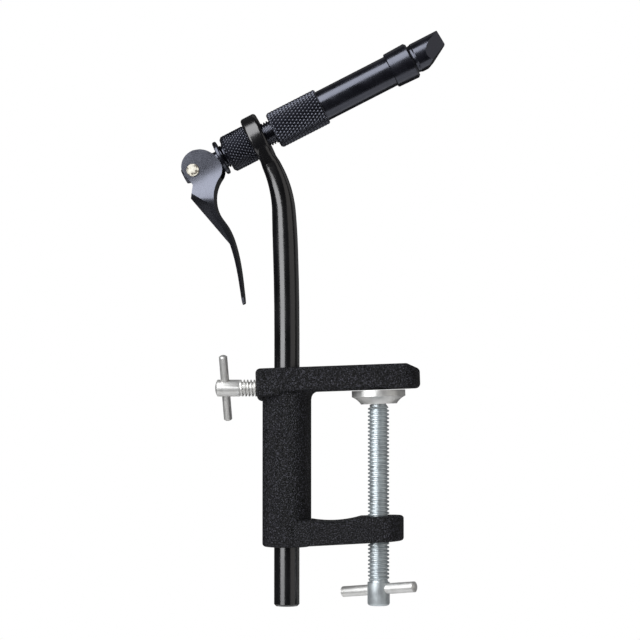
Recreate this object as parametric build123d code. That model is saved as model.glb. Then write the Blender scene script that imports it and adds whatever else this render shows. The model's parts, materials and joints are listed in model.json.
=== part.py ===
"""Fly tying vise with a table clamp, a bent stem and a cam-lever collet head.

Millimetres, +Z up. The origin is on the clamp screw's axis, on the underside of the upper jaw.
+X runs from the stem towards the clamp screw and the jaw tips, +Y is away from the viewer.
The head is drawn lying along +X with the stem's eye at the origin, and is then tilted into place.
"""
from build123d import *
from math import asin, copysign, cos, pi, radians, sin, tan
import os

# Fits shared by all pieces
run_fit = 0.05
thread_fit = 0.08
seat_gap = 0.25
cut_over = 3.0

# Clamp casting
arm_rise = 2.0
post_offset = 34.35
post_dia = 18.3
post_drop = 58.6
jaw_thick = 9.4
jaw_reach = 15.6
jaw_width = 20.4
jaw_end_radius = 7.0
jaw_nose_length = 4.4
jaw_nose_drop = 2.2
jaw_edge = 1.8
block_overhang = 1.7
block_depth = 1.3
block_end_radius = 3.0
lock_height = 0.6
lock_boss_dia = 9.8
lock_boss_proud = 0.3
arm_reach = 9.4
arm_width = 17.0
arm_top_drop = 46.7
arm_boss_back = 7.0
arm_root_drop = 1.2
arm_dip = 1.05
arm_tip_thick = 9.4
arm_edge = 1.2
root_radius = 2.6

# Clamp screw, its bar and its swivel pad
screw_dia = 7.94
screw_reach = 71.6
screw_head_dia = 8.3
screw_head_length = 8.7
screw_head_edge = 0.8
screw_neck_dia = 5.6
screw_button_dia = 7.2
screw_button_thick = 1.1
screw_bar_dia = 4.0
screw_bar_length = 32.4
screw_bar_drop = 2.7
screw_bar_yaw = 28.0
screw_bar_tilt = 6.0
pad_dia = 20.0
pad_rim = 2.3
pad_height = 5.1
pad_base_dia = 13.4
pad_cup_depth = 2.4
pad_neck_room = 0.35
pad_flank_sag = 0.25

# Lock screw and its bar
lock_dia = 6.3
lock_head_length = 9.8
lock_thread_show = 6.4
lock_crown = 0.9
lock_bar_dia = 3.15
lock_bar_length = 26.4
lock_bar_lean = 22.0
lock_bar_tilt = 2.0
lock_bar_inset = 3.9
bar_crown = 0.7

# Stem
stem_dia = 9.5
stem_foot = 22.1
stem_foot_edge = 0.7
lead_start = 20.0
lead_angle = 2.8
stem_rise = 66.3
bend_radius = 46.0
head_angle = 26.7
neck_length = 10.9
eye_dia = 18.8
eye_thick = 6.2
eye_edge = 1.1
lead_thin_shares = (1.0, 0.9944, 0.9778, 0.95)
lead_turn_shares = (0.7, 0.8, 0.9, 1.0)
bend_thin_shares = (0.905, 0.8535, 0.795, 0.73)
bend_wide_shares = (1.0138, 1.055, 1.1238, 1.22)
bend_square_shares = (1.1, 1.25, 1.45, 1.7)
neck_drop_shares = (0.86, 0.40)
neck_thin_shares = (0.97, 0.92)
neck_wide_shares = (0.735, 0.905)
neck_square_shares = (1.85, 2.0)
section_steps = 16

# Centre tube and the pieces fixed to it
tube_dia = 9.3
tube_reach = 45.0
lock_nut_dia = 14.4
lock_nut_length = 10.1
lock_nut_edge = 0.9
washer_stand_off = 1.7
washer_dia = 13.3
washer_thick = 1.4
washer_edge = 0.3
spigot_wall = 0.8

# Adjusting nut, barrel and front collar
thread_show = 3.45
adjust_dia = 14.2
adjust_length = 20.5
adjust_edge = 0.7
barrel_wall = 1.25
barrel_show = 28.9
barrel_flange_thick = 2.0
barrel_flange_step = 0.2
nut_lip = 1.4
collar_step = 0.8
collar_flare = 0.25
collar_length = 9.2
collar_edge = 0.7
collar_seat = 4.0
collar_spigot_wall = 0.75

# Collet: draw rod and jaws
rod_dia = 6.4
rod_tail = 4.4
rod_flat = 0.3
root_length = 2.0
root_dia = 7.8
jaw_arm_dia = 7.8
jaw_cone_length = 8.0
nose_gap = 1.0
nose_dia = 11.4
nose_groove_dia = 10.9
nose_length = 12.3
nose_face = 6.3
nose_slope = 27.5
nose_lean = 0.5
nose_edge = 0.35
nose_tip_width = 3.0
facet_angle = 29.0
facet_tilt = 12.0
slit = 0.3

# Cam lever and its pin
cam_reach = 10.54
cam_drop = 2.44
cam_gap = 0.12
cam_last = 96.0
cam_heel_radius = 5.2
cam_heel_end = -60.0
cam_back_radius = 6.5
cam_back_end = 163.0
lever_sheet = 1.9
lever_side_gap = 0.2
lever_length = 53.4
web_thick = 2.1
blade_tip_thick = 0.95
blade_tip_width = 6.4
blade_tip_radius = 2.6
flange_bend = 16.0
web_back_shares = (0, 0.402, 0.601, 0.649, 0.587, 0.62, 0.875, 1.247)
web_down_shares = (0, 0.079, 0.169, 0.264, 0.352, 0.529, 0.759, 1.0)
web_mid_share = 0.5
waist_shares = (-0.237, -0.470)
elbow_shares = (-0.522, -0.871)
crease_start_shares = (-0.385, -0.760)
crease_end_shares = (0.030, -1.424)
pin_dia = 3.2
pin_head_dia = 4.8
pin_head_thick = 0.6
pin_head_edge = 0.15

# Places that follow from the sizes above
post_x = -post_offset
post_radius = post_dia / 2
block_end_x = post_x - post_radius - block_overhang
lead_radius = (stem_rise - lead_start) / sin(radians(lead_angle))
lead_centre = (post_x - lead_radius, lead_start)
bend_x = lead_centre[0] + (lead_radius - bend_radius) * cos(radians(lead_angle))
bend_z = stem_rise - bend_radius * sin(radians(lead_angle))
eye_x = bend_x + bend_radius * cos(radians(head_angle)) - neck_length * sin(radians(head_angle))
eye_z = bend_z + bend_radius * sin(radians(head_angle)) + neck_length * cos(radians(head_angle))
head_place = Location((eye_x, 0, eye_z), (0, -head_angle, 0))

tube_radius = tube_dia / 2
lock_nut_front = -eye_thick / 2 - run_fit
lock_nut_rear = lock_nut_front - lock_nut_length
washer_front = lock_nut_rear - washer_stand_off
washer_rear = washer_front - washer_thick
pivot_u = washer_rear - cam_gap - cam_reach
adjust_rear = eye_thick / 2 + thread_show
adjust_front = adjust_rear + adjust_length
barrel_bore = tube_radius + run_fit
barrel_radius = barrel_bore + barrel_wall
barrel_flange_radius = barrel_radius + barrel_flange_step
barrel_rear = adjust_front - nut_lip - seat_gap - barrel_flange_thick
collar_rear = adjust_front + barrel_show
collar_front = collar_rear + collar_length
collar_radius = barrel_radius + collar_step
rod_radius = rod_dia / 2
root_front = tube_reach + seat_gap + root_length
cone_front = collar_front + nose_gap
cone_rear = cone_front - jaw_cone_length
tip_u = cone_front + nose_length
cone_slope = (nose_groove_dia - jaw_arm_dia) / 2 / jaw_cone_length
lever_half = rod_radius + lever_side_gap + lever_sheet


def turned(points, axis):
    """Solid turned about X or Z from the closed outline of its half section."""
    return revolve(make_face(Plane.XZ * Polyline(*points, close=True)), axis)


def rod_x(start, end, radius):
    """Plain round bar along X."""
    return turned([(start, 0), (end, 0), (end, radius), (start, radius)], Axis.X)


def rod_z(start, end, radius):
    """Plain round bar along Z."""
    return turned([(0, start), (radius, start), (radius, end), (0, end)], Axis.Z)


def side_face(*edges):
    """Face in the XZ plane, bounded by edges drawn as (x, z)."""
    return make_face([Plane.XZ * edge for edge in edges])


def crown_arc(end, crown, radius):
    """Arc of a domed end of a bar along X, from the axis to the flank; crown is negative at a left end."""
    dome = (radius**2 + crown**2) / (2 * abs(crown))
    half = asin(radius / dome) / 2
    depth = dome * (1 - cos(half)) * (1 if crown > 0 else -1)
    return ThreePointArc((end, 0), (end - depth, dome * sin(half)), (end - crown, radius))


def crowned_bar(length, dia, crown):
    """Tommy bar along X, centred on the origin, with rounded ends."""
    half = length / 2
    flank = half - crown
    radius = dia / 2
    section = side_face(
        Line((-half, 0), (half, 0)),
        crown_arc(half, crown, radius),
        Line((flank, radius), (-flank, radius)),
        crown_arc(-half, -crown, radius),
    )
    return revolve(section, Axis.X)


def swung(centre, radius, angle):
    """Point on a circle."""
    return (centre[0] + radius * cos(radians(angle)), centre[1] + radius * sin(radians(angle)))


def arc_about(centre, radius, start, end):
    """Arc of a circle between two angles."""
    return ThreePointArc(
        swung(centre, radius, start), swung(centre, radius, (start + end) / 2), swung(centre, radius, end)
    )


def rise_at(x):
    """Height that the sloping arms have gained at x."""
    return x * tan(radians(arm_rise))


# Clamp casting

def jaw_slab(start, end, thick, start_radius, end_radius):
    """Flat bar along X, its top level with the jaw's top, with rounded corners and rolled edges."""
    plan = Pos((start + end) / 2, 0) * Rectangle(end - start, jaw_width)
    plan = fillet(plan.vertices().group_by(Axis.X)[0], start_radius)
    plan = fillet(plan.vertices().group_by(Axis.X)[-1], end_radius)
    slab = Pos(0, 0, jaw_thick - thick) * extrude(plan, thick) - jaw_nose_cut()
    return fillet(slab.edges(), jaw_edge)


def jaw_nose_cut():
    """Wedge that slopes the top of the jaw down towards its end."""
    return extrude(
        side_face(
            Polyline(
                (jaw_reach - jaw_nose_length, jaw_thick),
                (jaw_reach, jaw_thick - jaw_nose_drop),
                (jaw_reach + cut_over, jaw_thick - jaw_nose_drop),
                (jaw_reach + cut_over, jaw_thick + cut_over),
                (jaw_reach - jaw_nose_length, jaw_thick + cut_over),
                close=True,
            )
        ),
        jaw_width,
        both=True,
    )


def upper_jaw():
    """Upper jaw with the deeper block behind the post that carries the lock screw."""
    jaw = jaw_slab(block_end_x + block_end_radius, jaw_reach, jaw_thick, block_end_radius, jaw_end_radius)
    block = jaw_slab(block_end_x, post_x, jaw_thick + block_depth, block_end_radius, block_end_radius)
    return Rot(0, -arm_rise, 0) * (jaw + block)


def lock_boss():
    """Round boss that the lock screw is threaded through."""
    boss = rod_x(block_end_x - lock_boss_proud, post_x, lock_boss_dia / 2)
    boss = fillet(boss.edges().group_by(Axis.X)[0], jaw_edge)
    return Pos(0, 0, lock_height) * boss


def lower_arm():
    """Lower arm with a dipped top and a round end that the clamp screw is threaded through."""
    tip_top = -arm_top_drop
    tip_bottom = tip_top - arm_tip_thick
    boss_x = -arm_boss_back
    boss_top = tip_top + rise_at(boss_x - arm_reach)
    post_face = post_x + post_radius
    root_top = boss_top - arm_root_drop
    dip = ((boss_x + post_face) / 2, (boss_top + root_top) / 2 - arm_dip)
    side = side_face(
        Line((post_x, -post_drop), (arm_reach, tip_bottom)),
        Line((arm_reach, tip_bottom), (arm_reach, tip_top)),
        Line((arm_reach, tip_top), (boss_x, boss_top)),
        ThreePointArc((boss_x, boss_top), dip, (post_face, root_top)),
        Line((post_face, root_top), (post_x, root_top)),
        Line((post_x, root_top), (post_x, -post_drop)),
    )
    end_x = arm_reach - arm_width / 2
    plan = Pos((end_x + post_x) / 2, 0) * Rectangle(end_x - post_x, arm_width)
    plan += Pos(end_x, 0) * Circle(arm_width / 2)
    arm = extrude(side, arm_width, both=True) & Pos(0, 0, -post_drop) * extrude(plan, post_drop)
    return fillet(arm.edges(), arm_edge)


def post_root():
    """Rounded inner corner where the post runs out into the upper jaw."""
    inner = post_radius - root_radius
    outer = post_radius + root_radius
    bulge = root_radius * (1 - cos(pi / 4))
    section = side_face(
        Polyline(
            (outer, 0),
            (outer, root_radius),
            (inner, root_radius),
            (inner, -root_radius),
            (post_radius, -root_radius),
        ),
        ThreePointArc((post_radius, -root_radius), (post_radius + bulge, -bulge), (outer, 0)),
    )
    inner_side = Box(outer, jaw_width - jaw_edge * 2, outer, align=(Align.MIN, Align.CENTER, Align.CENTER))
    return Pos(post_x, 0, rise_at(post_x)) * Rot(0, -arm_rise, 0) * (revolve(section, Axis.Z) & inner_side)


def clamp_body():
    """One casting: upper jaw, post, lower arm and lock boss, bored for the stem and both screws."""
    post = rod_z(-post_drop, jaw_thick / 2, post_radius)
    post = Pos(post_x, 0) * fillet(post.edges().group_by(Axis.Z)[0], arm_edge)
    body = post + upper_jaw() + post_root() + lock_boss() + lower_arm()
    body -= Pos(post_x, 0) * rod_z(-post_drop - cut_over, jaw_thick + cut_over, stem_dia / 2 + run_fit)
    body -= Pos(0, 0, lock_height) * rod_x(block_end_x - cut_over, post_x, lock_dia / 2 + thread_fit)
    body -= rod_z(-post_drop - cut_over, -arm_top_drop + cut_over, screw_dia / 2 + thread_fit)
    return body


# Clamp screw and pad

def clamp_pad():
    """Swivel pad: a rim, a hollow-sided cone and a cup for the screw's peened button."""
    neck = screw_neck_dia / 2 + pad_neck_room
    cup = screw_button_dia / 2 + pad_neck_room
    mid_radius = (pad_dia + pad_base_dia) / 4 - pad_flank_sag
    mid_height = -(pad_rim + pad_height) / 2 + pad_flank_sag
    section = side_face(
        Polyline((cup, 0), (pad_dia / 2, 0), (pad_dia / 2, -pad_rim)),
        ThreePointArc((pad_dia / 2, -pad_rim), (mid_radius, mid_height), (pad_base_dia / 2, -pad_height)),
        Polyline(
            (pad_base_dia / 2, -pad_height),
            (neck, -pad_height),
            (neck, -pad_cup_depth),
            (cup, -pad_cup_depth),
            (cup, 0),
        ),
    )
    return Rot(0, -arm_rise, 0) * Pos(0, 0, -seat_gap) * revolve(section, Axis.Z)


def clamp_screw():
    """Threaded spindle, drawn plain, with a turned end for the bar and a button held in the pad."""
    shoulder = -seat_gap - pad_height - seat_gap
    button_bottom = -seat_gap - pad_cup_depth + seat_gap
    button_top = button_bottom + screw_button_thick
    head_end = -screw_reach - screw_head_length
    head_radius = screw_head_dia / 2
    screw = turned(
        [
            (0, button_top),
            (screw_button_dia / 2, button_top),
            (screw_button_dia / 2, button_bottom),
            (screw_neck_dia / 2, button_bottom),
            (screw_neck_dia / 2, shoulder),
            (screw_dia / 2, shoulder),
            (screw_dia / 2, -screw_reach),
            (head_radius, -screw_reach),
            (head_radius, head_end + screw_head_edge),
            (head_radius - screw_head_edge, head_end),
            (0, head_end),
        ],
        Axis.Z,
    )
    hole = rod_x(-screw_head_dia, screw_head_dia, screw_bar_dia / 2 + run_fit)
    return screw - screw_bar_place() * hole


def screw_bar_place():
    """Where the clamp screw's bar crosses the spindle."""
    return Pos(0, 0, -screw_reach - screw_bar_drop) * Rot(0, 0, -screw_bar_yaw) * Rot(0, -screw_bar_tilt, 0)


def clamp_screw_bar():
    return screw_bar_place() * crowned_bar(screw_bar_length, screw_bar_dia, bar_crown)


# Lock screw

def lock_bar_place():
    """Where the lock screw's bar crosses its head, leaning towards the viewer at the top."""
    head_end = block_end_x - lock_thread_show - lock_head_length
    crossing = Pos(head_end + lock_bar_inset, 0, lock_height)
    return crossing * Rot(0, -lock_bar_tilt, 0) * Rot(lock_bar_lean, 0, 0) * Rot(0, -90, 0)


def lock_screw():
    """Screw that bears on the stem, drawn plain, with a crowned head for its bar."""
    head_end = block_end_x - lock_thread_show - lock_head_length
    tip = post_x - stem_dia / 2 - seat_gap
    radius = lock_dia / 2
    section = side_face(
        Line((head_end, 0), (tip, 0)),
        Line((tip, 0), (tip, radius - lock_crown)),
        Line((tip, radius - lock_crown), (tip - lock_crown, radius)),
        Line((tip - lock_crown, radius), (head_end + lock_crown, radius)),
        crown_arc(head_end, -lock_crown, radius),
    )
    screw = Pos(0, 0, lock_height) * revolve(section, Axis.X)
    return screw - lock_bar_place() * rod_x(-lock_dia, lock_dia, lock_bar_dia / 2 + run_fit)


def lock_screw_bar():
    return lock_bar_place() * crowned_bar(lock_bar_length, lock_bar_dia, bar_crown)


# Stem

def rod_section(centre, angle, thin, wide):
    """Oval section of the stem where it leans by an angle, thin along the head's axis."""
    return Location((centre[0], 0, centre[1]), (0, -angle, 0)) * Ellipse(thin, wide)


def flat_section(centre, angle, thin, wide, square):
    """Section of the flattened rod: an oval squared up by a share of a plain oval's power."""
    points = []
    for i in range(section_steps):
        turn = 2 * pi * i / section_steps
        across = copysign(abs(cos(turn)) ** (1 / square), cos(turn))
        along = copysign(abs(sin(turn)) ** (1 / square), sin(turn))
        points.append((thin * across, wide * along))
    outline = make_face(Spline(*points, periodic=True))
    return Location((centre[0], 0, centre[1]), (0, -angle, 0)) * outline


def stem_runs():
    """Sections of the lead-in, the bend and the neck; each run starts where the last one ends."""
    radius = stem_dia / 2
    eye_radius = eye_dia / 2
    lead = []
    for turn, thin in zip(lead_turn_shares, lead_thin_shares):
        angle = lead_angle * turn
        lead.append(rod_section(swung(lead_centre, lead_radius, angle), angle, radius * thin, radius))
    bend = lead[-1:]
    steps = len(bend_thin_shares)
    bend_shares = zip(bend_thin_shares, bend_wide_shares, bend_square_shares)
    for i, (thin, wide, square) in enumerate(bend_shares, 1):
        angle = lead_angle + (head_angle - lead_angle) * i / steps
        centre = swung((bend_x, bend_z), bend_radius, angle)
        bend.append(flat_section(centre, angle, radius * thin, radius * wide, square))
    neck = bend[-1:]
    neck_shares = zip(neck_drop_shares, neck_thin_shares, neck_wide_shares, neck_square_shares)
    for drop, thin, wide, square in neck_shares:
        centre = swung((eye_x, eye_z), -eye_radius * drop, head_angle + 90)
        neck.append(flat_section(centre, head_angle, eye_thick / 2 * thin, eye_radius * wide, square))
    return lead, bend, neck


def stem():
    """Round rod whose bent top is forged flat into an eye for the centre tube."""
    radius = stem_dia / 2
    shaft = rod_z(-post_drop - stem_foot, lead_start, radius)
    shaft = Pos(post_x, 0) * chamfer(shaft.edges().group_by(Axis.Z)[0], stem_foot_edge)
    lead_axis = Axis((lead_centre[0], 0, lead_centre[1]), (0, -1, 0))
    lead_turn = lead_angle * lead_turn_shares[0]
    lead = revolve(Pos(post_x, 0, lead_start) * Circle(radius), lead_axis, lead_turn)
    eye = rod_x(-eye_thick / 2, eye_thick / 2, eye_dia / 2)
    eye = fillet(eye.edges().filter_by(GeomType.CIRCLE), eye_edge)
    body = shaft + lead + head_place * eye
    for run in stem_runs():
        body += loft(run)
    hole = rod_x(-eye_thick - cut_over, eye_thick + cut_over, tube_radius + run_fit)
    return body - head_place * hole


# Head, drawn along X

def center_tube():
    """Threaded tube, drawn plain, with a spigot at the rear for the cam washer."""
    bore = rod_radius + run_fit
    spigot = bore + spigot_wall
    return turned(
        [
            (washer_rear + washer_edge, bore),
            (tube_reach, bore),
            (tube_reach, tube_radius),
            (washer_front, tube_radius),
            (washer_front, spigot),
            (washer_rear + washer_edge, spigot),
        ],
        Axis.X,
    )


def lock_nut():
    """Small nut that clamps the tube to the eye; its knurl is left to the finish."""
    inner = tube_radius + run_fit
    outer = lock_nut_dia / 2
    return turned(
        [
            (lock_nut_rear, inner),
            (lock_nut_front, inner),
            (lock_nut_front, outer),
            (lock_nut_rear + lock_nut_edge, outer),
            (lock_nut_rear, outer - lock_nut_edge),
        ],
        Axis.X,
    )


def cam_washer():
    """Wear washer on the tube's rear end that the cam presses on."""
    inner = rod_radius + spigot_wall + run_fit * 2
    outer = washer_dia / 2
    return turned(
        [
            (washer_rear, inner),
            (washer_front, inner),
            (washer_front, outer - washer_edge),
            (washer_front - washer_edge, outer),
            (washer_rear + washer_edge, outer),
            (washer_rear, outer - washer_edge),
        ],
        Axis.X,
    )


def adjusting_nut():
    """Large nut on the tube's thread, with a lip rolled over the barrel's flange."""
    inner = tube_radius + run_fit
    outer = adjust_dia / 2
    pocket = barrel_flange_radius + run_fit
    pocket_rear = barrel_rear - seat_gap
    lip_rear = adjust_front - nut_lip
    lip = barrel_radius + run_fit
    return turned(
        [
            (adjust_rear, inner),
            (pocket_rear, inner),
            (pocket_rear, pocket),
            (lip_rear, pocket),
            (lip_rear, lip),
            (adjust_front, lip),
            (adjust_front, outer - adjust_edge / 2),
            (adjust_front - adjust_edge / 2, outer),
            (adjust_rear + adjust_edge, outer),
            (adjust_rear, outer - adjust_edge),
        ],
        Axis.X,
    )


def barrel():
    """Plain sleeve that slides on the tube, flanged at the rear and necked for the collar."""
    flange_front = barrel_rear + barrel_flange_thick
    spigot = barrel_bore + collar_spigot_wall
    return turned(
        [
            (barrel_rear, barrel_bore),
            (collar_rear + collar_seat, barrel_bore),
            (collar_rear + collar_seat, spigot),
            (collar_rear, spigot),
            (collar_rear, barrel_radius),
            (flange_front, barrel_radius),
            (flange_front, barrel_flange_radius),
            (barrel_rear, barrel_flange_radius),
        ],
        Axis.X,
    )


def cone_radius(u):
    """Radius of the jaws' cone at a station."""
    return jaw_arm_dia / 2 + max(0, u - cone_rear) * cone_slope


def front_collar():
    """Ring on the barrel's end whose conical mouth squeezes the jaws."""
    seat_end = collar_rear + collar_seat
    spigot = barrel_bore + collar_spigot_wall + run_fit / 2
    throat = max(cone_radius(seat_end) + seat_gap, barrel_bore)
    mouth = max(cone_radius(collar_front) + seat_gap, throat)
    return turned(
        [
            (collar_rear, spigot),
            (seat_end, spigot),
            (seat_end, throat),
            (collar_front, mouth),
            (collar_front, collar_radius + collar_flare - collar_edge),
            (collar_front - collar_edge, collar_radius + collar_flare),
            (collar_rear + collar_edge / 2, collar_radius),
            (collar_rear, collar_radius - collar_edge / 2),
        ],
        Axis.X,
    )


def draw_rod():
    """Rod from the lever pin to the collet's root, with a flattened, rounded tail."""
    tail_end = pivot_u - rod_tail
    rod = rod_x(tail_end + rod_radius / 2, root_front, rod_radius)
    rod += Pos(tail_end + rod_radius / 2, 0, 0) * Sphere(rod_radius)
    rod -= rod_x(tail_end - rod_dia, tail_end, rod_dia)
    rod += rod_x(root_front - root_length, root_front, root_dia / 2)
    flat_length = pivot_u + cam_reach / 2 - tail_end
    flat = Box(flat_length, rod_flat * 2, rod_dia * 2, align=(Align.MIN, Align.CENTER, Align.CENTER))
    for side in (-1, 1):
        rod -= Pos(tail_end, side * rod_radius, 0) * flat
    hole = Pos(pivot_u, 0, 0) * Rot(90, 0, 0) * Cylinder(pin_dia / 2 + run_fit, rod_dia * 2)
    return rod - hole


def collet_nose():
    """Both jaws before the slit: arms, squeeze cone and the ground nose."""
    nose_radius = nose_dia / 2
    groove_radius = nose_groove_dia / 2
    blank = turned(
        [
            (root_front + seat_gap, 0),
            (tip_u, 0),
            (tip_u, nose_radius),
            (cone_front + nose_gap / 2, nose_radius),
            (cone_front, groove_radius),
            (cone_rear, jaw_arm_dia / 2),
            (root_front + seat_gap, jaw_arm_dia / 2),
        ],
        Axis.X,
    )
    chin_z = nose_radius - nose_face
    slope_run = (chin_z + nose_radius) / tan(radians(nose_slope))
    side = side_face(
        Polyline(
            (root_front, nose_dia),
            (tip_u - nose_lean, nose_dia),
            (tip_u - nose_lean, nose_radius - nose_edge),
            (tip_u, chin_z + nose_edge),
            (tip_u - nose_edge, chin_z),
            (tip_u - slope_run, -nose_radius),
            (tip_u - slope_run, -nose_dia),
            (root_front, -nose_dia),
            close=True,
        )
    )
    nose = blank & extrude(side, nose_dia, both=True)
    facet = Box(nose_length * 4, nose_dia * 2, nose_dia * 4, align=(Align.CENTER, Align.MIN, Align.CENTER))
    for sign in (-1, 1):
        tilt = Rot(0, 0, -facet_angle) * Rot(-facet_tilt, 0, 0)
        cut = Pos(tip_u, nose_tip_width / 2, 0) * tilt * facet
        nose -= cut if sign > 0 else mirror(cut, Plane.XZ)
    return nose


def collet_jaw(side):
    """One half of the split collet, on the +Y or -Y side of the slit."""
    half = Box(tip_u * 2, nose_dia, nose_dia * 2, align=(Align.CENTER, Align.MIN, Align.CENTER))
    keep = Pos(tip_u, slit / 2, 0) * half
    if side < 0:
        keep = mirror(keep, Plane.XZ)
    return collet_nose() & keep


# Cam lever, drawn with its pivot at the origin

def cam_point(angle):
    """Point of the cam whose reach towards the washer falls evenly as the lever turns."""
    a = radians(angle)
    reach = cam_reach - cam_drop * a
    return (reach * cos(a) + cam_drop * sin(a), reach * sin(a) - cam_drop * cos(a))


def ear_point(shares):
    """Point near the cam, given as shares of the cam's reach."""
    return (shares[0] * cam_reach, shares[1] * cam_reach)


def cam_edges():
    """Cam outline from the top of the web, over the cam, to the back of the ear."""
    heel = (cam_reach - cam_heel_radius, -cam_drop)
    steps = 6
    rise = [cam_point(cam_last * i / steps) for i in range(steps + 1)]
    first = (0, 1)
    last = (-sin(radians(cam_last)), cos(radians(cam_last)))
    back = swung(cam_point(cam_last), -cam_back_radius, cam_last)
    return [
        arc_about(heel, cam_heel_radius, cam_heel_end, 0),
        Spline(*rise, tangents=[first, last]),
        arc_about(back, cam_back_radius, cam_last, cam_back_end),
    ]


def heel_end():
    """Lower end of the cam's heel, where the web starts."""
    return swung((cam_reach - cam_heel_radius, -cam_drop), cam_heel_radius, cam_heel_end)


def web_line(depth_share):
    """Line along the web and blade, a share of their thickness behind the front face."""
    top_u, top_v = heel_end()
    line = []
    for back, down in zip(web_back_shares, web_down_shares):
        thick = web_thick + (blade_tip_thick - web_thick) * down
        line.append((top_u - cam_reach * back - thick * depth_share, top_v - (lever_length + top_v) * down))
    return line


def flange_run(line):
    """Stretch of a web line that the flanges follow."""
    return line[:-2]


def lever_web():
    """Web and blade: one strip with a tapering section and a rounded tip."""
    front = web_line(0)
    back = web_line(1)
    side = side_face(
        Spline(*front),
        Line(front[-1], back[-1]),
        Spline(*back),
        Line(back[0], front[0]),
    )
    shoulder = flange_run(front)[-1][1]
    tip = blade_tip_width / 2
    plan = make_face(
        Polyline(
            (-lever_half, 0),
            (lever_half, 0),
            (lever_half, shoulder),
            (tip, -lever_length),
            (-tip, -lever_length),
            (-lever_half, shoulder),
            close=True,
        )
    )
    plan = fillet(plan.vertices().group_by(Axis.Y)[0], blade_tip_radius)
    return extrude(side, lever_half, both=True) & extrude(Plane.YZ * plan, lever_length, both=True)


def lever_ears():
    """Block of the ears' and flanges' side outline, as wide as the lever."""
    heel, rise, back = cam_edges()
    middle = flange_run(web_line(web_mid_share))
    foot = flange_run(web_line(1))[-1]
    side = side_face(
        heel,
        rise,
        back,
        Polyline(back @ 1, ear_point(waist_shares), ear_point(elbow_shares), foot, middle[-1]),
        Spline(*reversed(middle)),
        Line(middle[0], heel @ 0),
    )
    return extrude(side, lever_half, both=True)


def lever_cheek(ears):
    """Ear on the +Y side with its flange, which bends inwards below the crease."""
    start = ear_point(crease_start_shares)
    end = ear_point(crease_end_shares)
    run = Vector(end[0] - start[0], 0, end[1] - start[1]).normalized()
    down = Vector(run.Z, 0, -run.X)
    out = Vector(0, 1, 0)
    bent = out * cos(radians(flange_bend)) + down * sin(radians(flange_bend))
    corner = Vector(start[0], lever_half, start[1])
    span = lever_length * 2
    sheet_align = (Align.CENTER, Align.CENTER, Align.MAX)
    flat_sheet = Plane(corner, run, out) * Box(span, span, lever_sheet, align=sheet_align)
    bent_sheet = Plane(corner, run, bent) * Box(span, span, lever_sheet, align=sheet_align)
    below = Plane(corner, run, down) * Box(span, span, span, align=(Align.CENTER, Align.CENTER, Align.MIN))
    return (ears & flat_sheet - below) + (ears & bent_sheet & below)


def cam_lever():
    """Channel-shaped lever: two cam ears joined by a web that runs on as a long blade."""
    cheek = lever_cheek(lever_ears())
    lever = lever_web() + cheek + mirror(cheek, Plane.XZ)
    lever -= Rot(90, 0, 0) * Cylinder(pin_dia / 2 + run_fit, lever_half * 4)
    return Pos(pivot_u, 0, 0) * lever


def lever_pin():
    """Pin through the ears and the draw rod, with a low head on each side."""
    end = lever_half + pin_head_thick
    pin = turned(
        [
            (0, -end),
            (pin_head_dia / 2 - pin_head_edge, -end),
            (pin_head_dia / 2, pin_head_edge - end),
            (pin_head_dia / 2, -lever_half),
            (pin_dia / 2, -lever_half),
            (pin_dia / 2, lever_half),
            (pin_head_dia / 2, lever_half),
            (pin_head_dia / 2, end - pin_head_edge),
            (pin_head_dia / 2 - pin_head_edge, end),
            (0, end),
        ],
        Axis.Z,
    )
    return Pos(pivot_u, 0, 0) * Rot(90, 0, 0) * pin


def all_pieces():
    """Every piece of the vise in its place, by name."""
    clamp_pieces = {
        "clamp_body": clamp_body(),
        "clamp_screw": clamp_screw(),
        "clamp_screw_bar": clamp_screw_bar(),
        "clamp_pad": clamp_pad(),
        "lock_screw": lock_screw(),
        "lock_screw_bar": lock_screw_bar(),
        "stem": stem(),
    }
    head_pieces = {
        "center_tube": center_tube(),
        "lock_nut": lock_nut(),
        "cam_washer": cam_washer(),
        "adjusting_nut": adjusting_nut(),
        "barrel": barrel(),
        "front_collar": front_collar(),
        "draw_rod": draw_rod(),
        "jaw_left": collet_jaw(1),
        "jaw_right": collet_jaw(-1),
        "cam_lever": cam_lever(),
        "lever_pin": lever_pin(),
    }
    placed = {name: head_place * piece for name, piece in head_pieces.items()}
    return clamp_pieces | placed


os.makedirs("parts", exist_ok=True)
for node, piece in all_pieces().items():
    export_step(piece, f"parts/{node}.step")
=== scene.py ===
import json
import math

import bmesh
import bpy
from mathutils import Matrix, Vector


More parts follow.
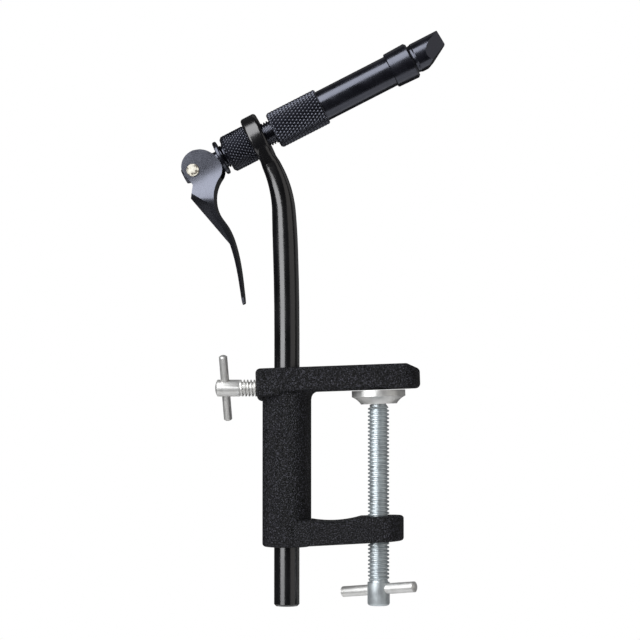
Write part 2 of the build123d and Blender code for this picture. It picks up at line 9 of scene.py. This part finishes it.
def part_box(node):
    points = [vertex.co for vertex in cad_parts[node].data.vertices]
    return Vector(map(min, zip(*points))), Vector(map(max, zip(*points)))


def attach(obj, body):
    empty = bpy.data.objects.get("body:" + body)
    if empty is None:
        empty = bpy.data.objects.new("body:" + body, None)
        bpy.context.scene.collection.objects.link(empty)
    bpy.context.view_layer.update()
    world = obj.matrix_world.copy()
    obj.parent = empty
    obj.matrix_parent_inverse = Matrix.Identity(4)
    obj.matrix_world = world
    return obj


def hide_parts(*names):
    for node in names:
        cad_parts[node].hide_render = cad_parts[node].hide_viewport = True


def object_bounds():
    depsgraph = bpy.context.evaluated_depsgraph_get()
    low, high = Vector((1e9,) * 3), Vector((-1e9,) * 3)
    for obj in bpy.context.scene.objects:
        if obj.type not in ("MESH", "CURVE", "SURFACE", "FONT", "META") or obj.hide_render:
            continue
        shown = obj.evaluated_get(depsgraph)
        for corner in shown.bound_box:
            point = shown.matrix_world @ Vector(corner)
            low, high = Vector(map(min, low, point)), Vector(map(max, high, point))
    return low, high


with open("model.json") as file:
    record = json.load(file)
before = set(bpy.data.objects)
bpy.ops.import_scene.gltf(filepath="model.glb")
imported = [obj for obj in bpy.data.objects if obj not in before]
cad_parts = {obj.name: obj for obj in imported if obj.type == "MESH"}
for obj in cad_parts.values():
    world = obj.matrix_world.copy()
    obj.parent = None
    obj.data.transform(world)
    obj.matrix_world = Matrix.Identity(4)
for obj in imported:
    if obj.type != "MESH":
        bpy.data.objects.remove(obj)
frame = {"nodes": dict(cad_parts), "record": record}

cad_box = [[float(v) for v in corner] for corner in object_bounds()]

MM = 0.001
joints = {joint["name"]: joint for joint in frame["record"]["behaviour"]["joints"]}
head_origin = Vector(joints["head_roll"]["pos_m"])
head_axis = Vector(joints["head_roll"]["axis"]).normalized()
head_angle = math.atan2(head_axis.z, head_axis.x)

# Radii, and places along the piece's own axis, that the turned pieces share with the CAD part, in millimetres

clamp_button_radius = 3.6
clamp_button_edge = 0.25
clamp_button_top = -1.3
clamp_button_bottom = -2.4
clamp_neck_radius = 2.8
clamp_thread_radius = 3.97
clamp_thread_top = -5.6
clamp_thread_bottom = -71.6
clamp_head_radius = 4.15
clamp_head_end = -80.3
clamp_head_break = 0.15
clamp_head_edge = ((0, 0.8), (0.25, 0.35), (0.8, 0))
clamp_hole_radius = 2.05
clamp_hole_half = 9

lock_radius = 3.15
lock_crown = 0.9
lock_head_end = -61.4
lock_thread_rear = -52.2
lock_thread_front = -40.25
lock_point_radius = 2.25
lock_point = -39.35
lock_hole_radius = 1.625
lock_hole_half = 7

tube_radius = 4.65
tube_bore = 3.25
tube_front = 45.0
tube_front_edge = 0.3
tube_thread_front = 24.0
spigot_radius = 4.05
spigot_front = -14.95
spigot_rear = -16.05

nut_bore = 4.7
nut_bore_edge = 0.3
lock_nut_radius = 7.2
lock_nut_rear = -13.25
lock_nut_front = -3.15
lock_nut_edge = 0.9
adjust_radius = 7.1
adjust_rear = 6.55
adjust_front = 27.05
adjust_edge = 0.7
pocket_radius = 6.2
pocket_rear = 23.15
lip_radius = 6.0
lip_rear = 25.65

# Threads and knurls, which the CAD part leaves plain, in millimetres

clamp_pitch = 1.411
clamp_thread_depth = 0.76
clamp_thread_ends = (3.45, 3.2)
clamp_thread_fade = 1.6
lock_pitch = 1.27
lock_thread_depth = 0.85
lock_thread_ends = (lock_radius, 2.6)
lock_thread_fade = 1.0
tube_pitch = 1.058
tube_thread_depth = 0.55
tube_thread_ends = (4.2, tube_radius)
tube_thread_fade = 0.9
lock_nut_diamond = 1.86
lock_nut_cut = 0.46
adjust_diamond = 2.48
adjust_cut = 0.48


# Materials: grain sizes, relief heights and places in millimetres

cast_tints = [
    (0.42, (0.001, 0.001, 0.0012)),
    (0.53, (0.004, 0.004, 0.005)),
    (0.68, (0.046, 0.045, 0.056)),
]
paint_tints = [(0.3, (0.002, 0.002, 0.0025)), (0.7, (0.005, 0.005, 0.006))]
paint_sheen = (1.0, 0.98, 0.98, 1.0)
oxide_tints = [(0.3, (0.002, 0.002, 0.0032)), (0.7, (0.005, 0.005, 0.0075))]
oxide_sheen = (0.80, 0.83, 1.0, 1.0)
zinc_tints = [(0.3, (0.54, 0.58, 0.60)), (0.7, (0.69, 0.74, 0.76))]
zinc_grain = (1.2, 1.2, 0.3)
nickel_tints = [(0.3, (0.67, 0.66, 0.64)), (0.7, (0.81, 0.80, 0.78))]
nickel_grain = (0.8, 0.8, 0.8)
# Pin colours: the darkest stop is painted shade for the small dents in the pin's head, and the other stops are
# the plating's own tone.
pin_tints_with_painted_shade = [
    (0.38, (0.12, 0.105, 0.085)),
    (0.46, (0.50, 0.47, 0.40)),
    (0.7, (0.68, 0.65, 0.57)),
]

lever_ior = 1.7
dish_out = (0.5, 0, -0.866)
dish_start = -100.6
dish_ease = 4.5
dish_back = (0, 0, -1)
dish_end = -72.5
dish_crease = 4.0
dish_slope = 0.195
dish_back_share = 2.4


class Finish:
    """Node material laid out in the part's own coordinates."""

    def __init__(self, name, **constants):
        self.material = bpy.data.materials.new(name)
        self.material.use_nodes = True
        self.tree = self.material.node_tree
        self.shader = self.tree.nodes["Principled BSDF"]
        for socket, value in constants.items():
            self.constant(socket.replace("_", " "), value)
        self.place = self.tree.nodes.new("ShaderNodeTexCoord").outputs["Object"]
        self.normal = None

    def constant(self, socket, value):
        self.shader.inputs[socket].default_value = value

    def link(self, source, target):
        self.tree.links.new(source, target)

    def scaled(self, kind, sizes, turn=(0, 0, 0)):
        """Texture node whose grains have the given sizes along the turned axes."""
        mapping = self.tree.nodes.new("ShaderNodeMapping")
        mapping.vector_type = "TEXTURE"
        mapping.inputs["Rotation"].default_value = turn
        mapping.inputs["Scale"].default_value = [size * MM for size in sizes]
        texture = self.tree.nodes.new(kind)
        texture.inputs["Scale"].default_value = 1.0
        self.link(self.place, mapping.inputs["Vector"])
        self.link(mapping.outputs["Vector"], texture.inputs["Vector"])
        return texture

    def noise(self, sizes, detail, rough=0.55, turn=(0, 0, 0)):
        texture = self.scaled("ShaderNodeTexNoise", sizes, turn)
        texture.inputs["Detail"].default_value = detail
        texture.inputs["Roughness"].default_value = rough
        return texture.outputs["Fac"]

    def grains(self, size):
        """Height of closely packed grains."""
        texture = self.scaled("ShaderNodeTexVoronoi", (size, size, size))
        return self.spread(texture.outputs["Distance"], low=1.0, high=0.0, least=0.0, most=0.8)

    def spread(self, value, low, high, least=0.3, most=0.7):
        """A value between least and most, stretched to run from low to high."""
        fit = self.tree.nodes.new("ShaderNodeMapRange")
        fit.inputs["From Min"].default_value = least
        fit.inputs["From Max"].default_value = most
        fit.inputs["To Min"].default_value = low
        fit.inputs["To Max"].default_value = high
        self.link(value, fit.inputs["Value"])
        return fit.outputs["Result"]

    def math(self, operation, *values):
        """Result of a maths node whose inputs are sockets or numbers."""
        node = self.tree.nodes.new("ShaderNodeMath")
        node.operation = operation
        for socket, value in zip(node.inputs, values):
            if isinstance(value, bpy.types.NodeSocket):
                self.link(value, socket)
            else:
                socket.default_value = value
        return node.outputs[0]

    def bend(self, direction, start, ease):
        """Height, in metres, of a sheet that is flat up to a place along a direction and leans out after it."""
        way = self.tree.nodes.new("ShaderNodeVectorMath")
        way.operation = "DOT_PRODUCT"
        way.inputs[1].default_value = direction
        self.link(self.place, way.inputs[0])
        past = self.math("SUBTRACT", way.outputs["Value"], start * MM)
        return self.math("SMOOTH_MAX", past, 0.0, ease * MM)

    def colour(self, value, stops):
        """Base colour along a value, from stops of (place, colour)."""
        ramp = self.tree.nodes.new("ShaderNodeValToRGB")
        elements = ramp.color_ramp.elements
        while len(elements) < len(stops):
            elements.new(0.5)
        for element, (place, colour) in zip(elements, stops):
            element.position = place
            element.color = (*colour, 1.0)
        self.link(value, ramp.inputs["Fac"])
        self.link(ramp.outputs["Color"], self.shader.inputs["Base Color"])

    def rough(self, value, low, high):
        self.link(self.spread(value, low, high), self.shader.inputs["Roughness"])

    def bump(self, value, height, strength):
        """Relief of the given height, on top of the relief so far."""
        bump = self.tree.nodes.new("ShaderNodeBump")
        bump.inputs["Distance"].default_value = height * MM
        bump.inputs["Strength"].default_value = strength
        self.link(value, bump.inputs["Height"])
        if self.normal:
            self.link(self.normal, bump.inputs["Normal"])
        self.normal = bump.outputs["Normal"]
        self.link(self.normal, self.shader.inputs["Normal"])


def cast_black():
    """Textured paint on the casting."""
    finish = Finish("cast_black_paint", Specular_IOR_Level=0.25)
    grain = finish.grains(size=0.5)
    tint = finish.noise(sizes=(0.5, 0.5, 0.5), detail=1.0)
    lumps = finish.noise(sizes=(6.0, 6.0, 6.0), detail=2.0)
    finish.colour(tint, cast_tints)
    finish.rough(lumps, low=0.46, high=0.56)
    finish.bump(lumps, height=0.25, strength=0.25)
    finish.bump(grain, height=0.34, strength=1.0)
    return finish


def gloss_black(name):
    """Smooth glossy black with a faint orange peel."""
    finish = Finish(
        name, Specular_IOR_Level=0.85, Specular_Tint=paint_sheen, Coat_Weight=0.2, Coat_Roughness=0.12
    )
    cloud = finish.noise(sizes=(9.0, 9.0, 14.0), detail=3.0)
    peel = finish.noise(sizes=(1.6, 1.6, 2.4), detail=2.0)
    finish.colour(cloud, paint_tints)
    finish.rough(cloud, low=0.16, high=0.26)
    finish.bump(peel, height=0.02, strength=0.25)
    return finish


def dished_black():
    """Gloss black on the lever, whose pressed cheeks lean out towards the flange and back along the blade."""
    finish = gloss_black("gloss_black_lever")
    finish.constant("Specular Tint", oxide_sheen)
    finish.constant("IOR", lever_ior)
    out = finish.bend(dish_out, dish_start, dish_ease)
    back = finish.bend(dish_back, dish_end, dish_crease)
    height = finish.math("SUBTRACT", out, finish.math("MULTIPLY", back, dish_back_share))
    finish.bump(height, height=dish_slope / MM, strength=1.0)
    return finish


def black_oxide():
    """Blued steel with faint turning lines round the head's axis."""
    finish = Finish("black_oxide_steel", Specular_IOR_Level=1.0, Specular_Tint=oxide_sheen)
    lines = finish.noise(sizes=(0.22, 5.0, 5.0), detail=2.0, rough=0.6, turn=(0, -head_angle, 0))
    cloud = finish.noise(sizes=(5.0, 5.0, 5.0), detail=3.0)
    finish.colour(cloud, oxide_tints)
    finish.rough(cloud, low=0.17, high=0.27)
    finish.bump(lines, height=0.012, strength=0.35)
    return finish


def bright_plate(name, tints, low, high, grain):
    """Satin plating whose roughness runs from low to high."""
    finish = Finish(name, Metallic=0.84)
    cloud = finish.noise(sizes=(3.0, 3.0, 3.0), detail=3.0, rough=0.6)
    fine = finish.noise(sizes=grain, detail=2.0, rough=0.6)
    finish.colour(cloud, tints)
    finish.rough(cloud, low, high)
    finish.bump(fine, height=0.015, strength=0.3)
    return finish


def pin_with_painted_dimple_shade():
    """Bright plating with dark marks painted as the shade in small dents, which the same noise also bumps in.
    """
    finish = Finish("pin_plate", Metallic=0.8)
    dimple_shade = finish.noise(sizes=(1.7, 1.7, 1.7), detail=1.0)
    # Painted shade: the noise darkens the base colour where it also dents the head.
    finish.colour(dimple_shade, pin_tints_with_painted_shade)
    finish.rough(dimple_shade, low=0.40, high=0.50)
    finish.bump(dimple_shade, height=0.15, strength=0.5)
    return finish


finishes = {
    "cast_black": cast_black().material,
    "gloss_black": gloss_black("gloss_black_paint").material,
    "black_oxide": black_oxide().material,
    "zinc_plate": bright_plate("zinc_plate", zinc_tints, 0.38, 0.50, zinc_grain).material,
    "nickel_plate": bright_plate("nickel_plate", nickel_tints, 0.40, 0.50, nickel_grain).material,
    "pin_plate": pin_with_painted_dimple_shade().material,
}
lever_finish = dished_black().material

for row in frame["record"]["subparts"]:
    for slot in frame["nodes"][row["node"]].material_slots:
        slot.material = finishes[row["material_slot"]]
for slot in frame["nodes"]["cam_lever"].material_slots:
    slot.material = lever_finish


# Turned pieces with threads and knurls

thread_columns = 64
thread_places = (0.0, 0.30, 0.52, 0.78)
thread_cuts = (0.0, 0.0, 1.0, 1.0)
knurl_count = 32
knurl_steps = 6
crown_steps = 8
cutter_columns = 48
merge_distance = 0.0005
sharp_angle = math.radians(44)
bar_end_zone = 2.2


def along(origin, axis, side):
    """Matrix that lays a piece built along local Z in millimetres onto an axis of the part."""
    w = Vector(axis).normalized()
    u = Vector(side).normalized()
    turn = Matrix((u, w.cross(u), w)).transposed().to_4x4()
    return Matrix.Translation(origin) @ turn @ Matrix.Scale(MM, 4)


def smooth(share):
    """Smooth step from 0 to 1."""
    share = min(max(share, 0.0), 1.0)
    return share * share * (3 - 2 * share)


class Turned:
    """Mesh about a local axis, in millimetres, made of rings with the same number of columns."""

    def __init__(self, columns):
        self.columns = columns
        self.bm = bmesh.new()

    def vert(self, radius, place, column):
        angle = math.tau * column / self.columns
        return self.bm.verts.new((radius * math.cos(angle), radius * math.sin(angle), place))

    def lathe(self, profile):
        """Plain surface from a list of (radius, place)."""
        rows = [[self.vert(radius, place, j) for j in range(self.columns)] for radius, place in profile]
        for a, b in zip(rows, rows[1:]):
            for j in range(self.columns):
                k = (j + 1) % self.columns
                self.bm.faces.new((a[j], a[k], b[k], b[j]))

    def thread(self, start, end, crest, depth, pitch, edges, fade):
        """Right-hand thread whose rows follow the helix and run out into plain edges at both ends."""
        kinds = len(thread_places)
        rows = []
        for turn in range(-1, int((end - start) / pitch) + 2):
            for place, cut in zip(thread_places, thread_cuts):
                row = []
                for j in range(self.columns):
                    spot = start + pitch * (turn + place + j / self.columns)
                    spot = min(max(spot, start), end)
                    radius = crest - depth * cut
                    radius = edges[0] + (radius - edges[0]) * smooth((spot - start) / fade)
                    radius = edges[1] + (radius - edges[1]) * smooth((end - spot) / fade)
                    row.append(self.vert(radius, spot, j))
                rows.append(row)
        last = self.columns - 1
        for i in range(len(rows) - kinds - 1):
            for j in range(last):
                self.bm.faces.new((rows[i][j], rows[i][j + 1], rows[i + 1][j + 1], rows[i + 1][j]))
            self.bm.faces.new((rows[i][last], rows[i + kinds][0], rows[i + kinds + 1][0], rows[i + 1][last]))

    def knurl(self, start, end, radius, depth, pitch, chamfers):
        """Crossed grooves between rounded diamonds, knurl_steps columns and rows to a diamond."""
        count = round(knurl_steps * (end - start) / pitch)
        half = knurl_steps / 2
        rows = []
        for i in range(count + 1):
            place = start + (end - start) * i / count
            room = min(radius, radius - chamfers[0] + place - start, radius - chamfers[1] + end - place)
            row = []
            for j in range(self.columns):
                up = abs((i + j) % knurl_steps - half) / half
                down = abs((i - j) % knurl_steps - half) / half
                cut = depth * (1 - min(up, down)) ** 2
                row.append(self.vert(min(room, radius - cut), place, j))
            rows.append(row)
        for i in range(count):
            for j in range(self.columns):
                k = (j + 1) % self.columns
                a, b, c, d = rows[i][j], rows[i][k], rows[i + 1][k], rows[i + 1][j]
                if abs((i + j + 1) % knurl_steps - half) <= abs((i - j) % knurl_steps - half):
                    self.bm.faces.new((a, b, d))
                    self.bm.faces.new((b, c, d))
                else:
                    self.bm.faces.new((a, b, c))
                    self.bm.faces.new((a, c, d))

    def made(self, name, matrix):
        """The mesh as an object, laid in its place."""
        bmesh.ops.remove_doubles(self.bm, verts=self.bm.verts, dist=merge_distance)
        bmesh.ops.dissolve_degenerate(self.bm, edges=self.bm.edges, dist=merge_distance)
        bmesh.ops.recalc_face_normals(self.bm, faces=self.bm.faces)
        self.bm.transform(matrix)
        mesh = bpy.data.meshes.new(name)
        self.bm.to_mesh(mesh)
        self.bm.free()
        made = bpy.data.objects.new(name, mesh)
        bpy.context.collection.objects.link(made)
        return made


def dress(piece, slot_name, body, node):
    """Gives a piece its finish and lets it ride on its body in place of the CAD node."""
    piece.data.materials.append(finishes[slot_name])
    piece.data.polygons.foreach_set("use_smooth", [True] * len(piece.data.polygons))
    piece.data.set_sharp_from_angle(angle=sharp_angle)
    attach(piece, body)
    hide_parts(node)


def bar_axis(node):
    """Middle and direction of a straight bar, from its mesh."""
    points = [v.co for v in frame["nodes"][node].data.vertices]
    low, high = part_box(node)
    middle = (low + high) / 2
    far = max(points, key=lambda p: (p - middle).length)
    ends = [p for p in points if (p - far).length < bar_end_zone * MM]
    tip = sum(ends, Vector()) / len(ends)
    return middle, (tip - middle).normalized()


def bar_hole(piece, bar_node, radius, half):
    """Cuts the cross hole for a bar out of a piece."""
    middle, axis = bar_axis(bar_node)
    bar = Turned(cutter_columns)
    bar.lathe([(0, -half), (radius, -half), (radius, half), (0, half)])
    cutter = bar.made("cutter", along(middle, axis, axis.orthogonal()))
    cut = piece.modifiers.new("cross_hole", "BOOLEAN")
    cut.operation = "DIFFERENCE"
    cut.solver = "EXACT"
    cut.object = cutter
    bpy.context.view_layer.update()
    shaped = bpy.data.meshes.new_from_object(piece.evaluated_get(bpy.context.evaluated_depsgraph_get()))
    piece.modifiers.clear()
    piece.data = shaped
    bpy.data.objects.remove(cutter)


def clamp_screw():
    screw = Turned(thread_columns)
    bottom_edge, top_edge = clamp_thread_ends
    screw.lathe([
        (0, clamp_button_top),
        (clamp_button_radius - clamp_button_edge, clamp_button_top),
        (clamp_button_radius, clamp_button_top - clamp_button_edge),
        (clamp_button_radius, clamp_button_bottom),
        (clamp_neck_radius, clamp_button_bottom),
        (clamp_neck_radius, clamp_thread_top),
        (top_edge, clamp_thread_top),
    ])
    screw.thread(
        clamp_thread_bottom,
        clamp_thread_top,
        clamp_thread_radius,
        clamp_thread_depth,
        clamp_pitch,
        clamp_thread_ends,
        clamp_thread_fade,
    )
    rim = [(clamp_head_radius - inset, clamp_head_end + back) for inset, back in clamp_head_edge]
    screw.lathe([
        (bottom_edge, clamp_thread_bottom),
        (clamp_head_radius - clamp_head_break, clamp_thread_bottom),
        (clamp_head_radius, clamp_thread_bottom - clamp_head_break),
        *rim,
        (0, clamp_head_end),
    ])
    piece = screw.made("threaded_clamp_screw", along((0, 0, 0), (0, 0, 1), (1, 0, 0)))
    bar_hole(piece, "clamp_screw_bar", clamp_hole_radius, clamp_hole_half)
    dress(piece, "zinc_plate", "clamp_screw", "clamp_screw")


def lock_screw():
    screw = Turned(thread_columns)
    dome = (lock_radius**2 + lock_crown**2) / (2 * lock_crown)
    half = math.asin(lock_radius / dome)
    crown = []
    for i in range(crown_steps + 1):
        angle = half * i / crown_steps
        crown.append((dome * math.sin(angle), lock_head_end + dome * (1 - math.cos(angle))))
    screw.lathe([*crown, (lock_radius, lock_thread_rear)])
    screw.thread(
        lock_thread_rear,
        lock_thread_front,
        lock_radius,
        lock_thread_depth,
        lock_pitch,
        lock_thread_ends,
        lock_thread_fade,
    )
    screw.lathe([(lock_thread_ends[1], lock_thread_front), (lock_point_radius, lock_point), (0, lock_point)])
    height = joints["lock_screw_turn"]["pos_m"][2]
    piece = screw.made("threaded_lock_screw", along((0, 0, height), (1, 0, 0), (0, 1, 0)))
    bar_hole(piece, "lock_screw_bar", lock_hole_radius, lock_hole_half)
    dress(piece, "nickel_plate", "lock_screw", "lock_screw")


head_place = along(head_origin, head_axis, (0, 1, 0))


def center_tube():
    tube = Turned(thread_columns)
    tube.lathe([
        (tube_radius, tube_thread_front),
        (tube_radius, tube_front - tube_front_edge),
        (tube_radius - tube_front_edge, tube_front),
        (tube_bore, tube_front),
        (tube_bore, spigot_rear),
        (spigot_radius, spigot_rear),
        (spigot_radius, spigot_front),
        (tube_thread_ends[0], spigot_front),
    ])
    tube.thread(
        spigot_front,
        tube_thread_front,
        tube_radius,
        tube_thread_depth,
        tube_pitch,
        tube_thread_ends,
        tube_thread_fade,
    )
    dress(tube.made("threaded_center_tube", head_place), "black_oxide", "head", "center_tube")


def lock_nut():
    nut = Turned(knurl_steps * knurl_count)
    chamfers = (lock_nut_edge, lock_nut_cut)
    nut.knurl(lock_nut_rear, lock_nut_front, lock_nut_radius, lock_nut_cut, lock_nut_diamond, chamfers)
    nut.lathe([
        (lock_nut_radius - lock_nut_edge, lock_nut_rear),
        (nut_bore + nut_bore_edge, lock_nut_rear),
        (nut_bore, lock_nut_rear + nut_bore_edge),
        (nut_bore, lock_nut_front),
        (lock_nut_radius - lock_nut_cut, lock_nut_front),
    ])
    dress(nut.made("knurled_lock_nut", head_place), "black_oxide", "head", "lock_nut")


def adjusting_nut():
    nut = Turned(knurl_steps * knurl_count)
    chamfers = (adjust_edge, adjust_cut)
    nut.knurl(adjust_rear, adjust_front, adjust_radius, adjust_cut, adjust_diamond, chamfers)
    nut.lathe([
        (adjust_radius - adjust_edge, adjust_rear),
        (nut_bore + nut_bore_edge, adjust_rear),
        (nut_bore, adjust_rear + nut_bore_edge),
        (nut_bore, pocket_rear),
        (pocket_radius, pocket_rear),
        (pocket_radius, lip_rear),
        (lip_radius, lip_rear),
        (lip_radius, adjust_front),
        (adjust_radius - adjust_cut, adjust_front),
    ])
    dress(nut.made("knurled_adjusting_nut", head_place), "black_oxide", "adjusting_nut", "adjusting_nut")


clamp_screw()
lock_screw()
center_tube()
lock_nut()
adjusting_nut()


# Studio, in metres and degrees

aim = Vector((-0.0219, 0, 0.0261))
camera_azimuth = 4.5
camera_elevation = -2.15
camera_distance = 0.8
camera_near = 0.01
sensor_width = 36.0
frame_width = 0.24

floor_level = cad_box[0][2] - 0.30
floor_reach = 0.4
floor_fade_start = 0.18
floor_fade_end = 0.36
floor_segments = 64
floor_colour = (0.9, 0.9, 0.9, 1.0)

ambient_colour = (0.94, 0.96, 1.0, 1.0)
ambient_level = 0.28
room_level = 0.04
backdrop_edge = 0.996
backdrop_full = 0.9995

cool = (0.96, 0.98, 1.0)
warm = (1.0, 0.98, 0.95)
white = (1.0, 1.0, 1.0)

# Azimuth, elevation, distance, width, height, power and colour of each lamp
softboxes = {
    "key": (-35, 24, 0.95, 0.76, 1.35, 15.5, cool),
    "right": (62, 5, 1.1, 1.0, 1.2, 1.9, warm),
    "rim": (128, 2, 1.1, 0.9, 1.2, 0.8, white),
    "back": (180, 58, 1.0, 0.8, 0.5, 0.2, white),
}


def towards(azimuth, elevation, distance):
    """Point around the aim; azimuth turns from the viewer's side to +X."""
    a = math.radians(azimuth)
    e = math.radians(elevation)
    return aim + distance * Vector((math.sin(a) * math.cos(e), -math.cos(a) * math.cos(e), math.sin(e)))


camera_place = towards(camera_azimuth, camera_elevation, camera_distance)


def look_at_aim(made, place):
    made.location = place
    made.rotation_euler = (aim - place).to_track_quat("-Z", "Y").to_euler()
    bpy.context.collection.objects.link(made)


def softbox(name, azimuth, elevation, distance, width, height, power, colour):
    lamp = bpy.data.lights.new(name, "AREA")
    lamp.shape = "RECTANGLE"
    lamp.size = width
    lamp.size_y = height
    lamp.energy = power
    lamp.color = colour
    made = bpy.data.objects.new(name, lamp)
    look_at_aim(made, towards(azimuth, elevation, distance))
    made.visible_camera = False


def seen_rays(tree):
    """Sockets that are one for camera rays, and for camera, glossy and transmission rays."""
    path = tree.nodes.new("ShaderNodeLightPath")
    total = path.outputs["Is Camera Ray"]
    for name in ("Is Glossy Ray", "Is Transmission Ray"):
        larger = tree.nodes.new("ShaderNodeMath")
        larger.operation = "MAXIMUM"
        tree.links.new(total, larger.inputs[0])
        tree.links.new(path.outputs[name], larger.inputs[1])
        total = larger.outputs[0]
    return path.outputs["Is Camera Ray"], total


def smooth_fit(tree, value, least, most, low, high):
    """A value that eases from low to high between least and most."""
    fit = tree.nodes.new("ShaderNodeMapRange")
    fit.interpolation_type = "SMOOTHSTEP"
    fit.inputs["From Min"].default_value = least
    fit.inputs["From Max"].default_value = most
    fit.inputs["To Min"].default_value = low
    fit.inputs["To Max"].default_value = high
    tree.links.new(value, fit.inputs["Value"])
    return fit.outputs["Result"]


def studio_world():
    """White backdrop behind the object, and a dim room elsewhere for reflections."""
    world = bpy.data.worlds.new("studio")
    bpy.context.scene.world = world
    world.use_nodes = True
    tree = world.node_tree
    ambient = tree.nodes["Background"]
    ambient.inputs["Color"].default_value = ambient_colour
    ambient.inputs["Strength"].default_value = ambient_level
    backdrop = tree.nodes.new("ShaderNodeBackground")
    backdrop.inputs["Color"].default_value = (*white, 1.0)
    place = tree.nodes.new("ShaderNodeTexCoord")
    facing = tree.nodes.new("ShaderNodeVectorMath")
    facing.operation = "DOT_PRODUCT"
    facing.inputs[1].default_value = (aim - camera_place).normalized()
    tree.links.new(place.outputs["Generated"], facing.inputs[0])
    room = smooth_fit(tree, facing.outputs["Value"], backdrop_edge, backdrop_full, room_level, 1.0)
    camera_rays, seen = seen_rays(tree)
    level = tree.nodes.new("ShaderNodeMath")
    level.operation = "MAXIMUM"
    mix = tree.nodes.new("ShaderNodeMixShader")
    tree.links.new(room, level.inputs[0])
    tree.links.new(camera_rays, level.inputs[1])
    tree.links.new(level.outputs[0], backdrop.inputs["Strength"])
    tree.links.new(seen, mix.inputs["Fac"])
    tree.links.new(ambient.outputs[0], mix.inputs[1])
    tree.links.new(backdrop.outputs[0], mix.inputs[2])
    tree.links.new(mix.outputs[0], tree.nodes["World Output"].inputs["Surface"])


def floor_white():
    """Pale floor that keeps the object's shadow and turns into plain white further out."""
    material = bpy.data.materials.new("floor_white")
    material.use_nodes = True
    tree = material.node_tree
    shader = tree.nodes["Principled BSDF"]
    shader.inputs["Base Color"].default_value = floor_colour
    shader.inputs["Roughness"].default_value = 0.9
    shader.inputs["Specular IOR Level"].default_value = 0.1
    glow = tree.nodes.new("ShaderNodeEmission")
    glow.inputs["Strength"].default_value = 1.0
    place = tree.nodes.new("ShaderNodeTexCoord")
    reach = tree.nodes.new("ShaderNodeVectorMath")
    reach.operation = "LENGTH"
    tree.links.new(place.outputs["Object"], reach.inputs[0])
    fade = smooth_fit(tree, reach.outputs["Value"], floor_fade_start, floor_fade_end, 0.0, 1.0)
    seen = seen_rays(tree)[1]
    share = tree.nodes.new("ShaderNodeMath")
    share.operation = "MULTIPLY"
    mix = tree.nodes.new("ShaderNodeMixShader")
    tree.links.new(fade, share.inputs[0])
    tree.links.new(seen, share.inputs[1])
    tree.links.new(share.outputs[0], mix.inputs["Fac"])
    tree.links.new(shader.outputs[0], mix.inputs[1])
    tree.links.new(glow.outputs[0], mix.inputs[2])
    tree.links.new(mix.outputs[0], tree.nodes["Material Output"].inputs["Surface"])
    return material


def floor():
    bm = bmesh.new()
    bmesh.ops.create_circle(bm, cap_ends=True, segments=floor_segments, radius=floor_reach)
    mesh = bpy.data.meshes.new("floor")
    bm.to_mesh(mesh)
    bm.free()
    made = bpy.data.objects.new("floor", mesh)
    made.location = (0, 0, floor_level)
    bpy.context.collection.objects.link(made)
    made.data.materials.append(floor_white())


def camera():
    lens = bpy.data.cameras.new("camera")
    lens.sensor_width = sensor_width
    lens.lens = sensor_width * camera_distance / frame_width
    lens.clip_start = camera_near
    made = bpy.data.objects.new("camera", lens)
    look_at_aim(made, camera_place)
    bpy.context.scene.camera = made


for lamp_name, settings in softboxes.items():
    softbox(lamp_name, *settings)
studio_world()
floor()
camera()
bpy.context.scene.view_settings.view_transform = "Standard"
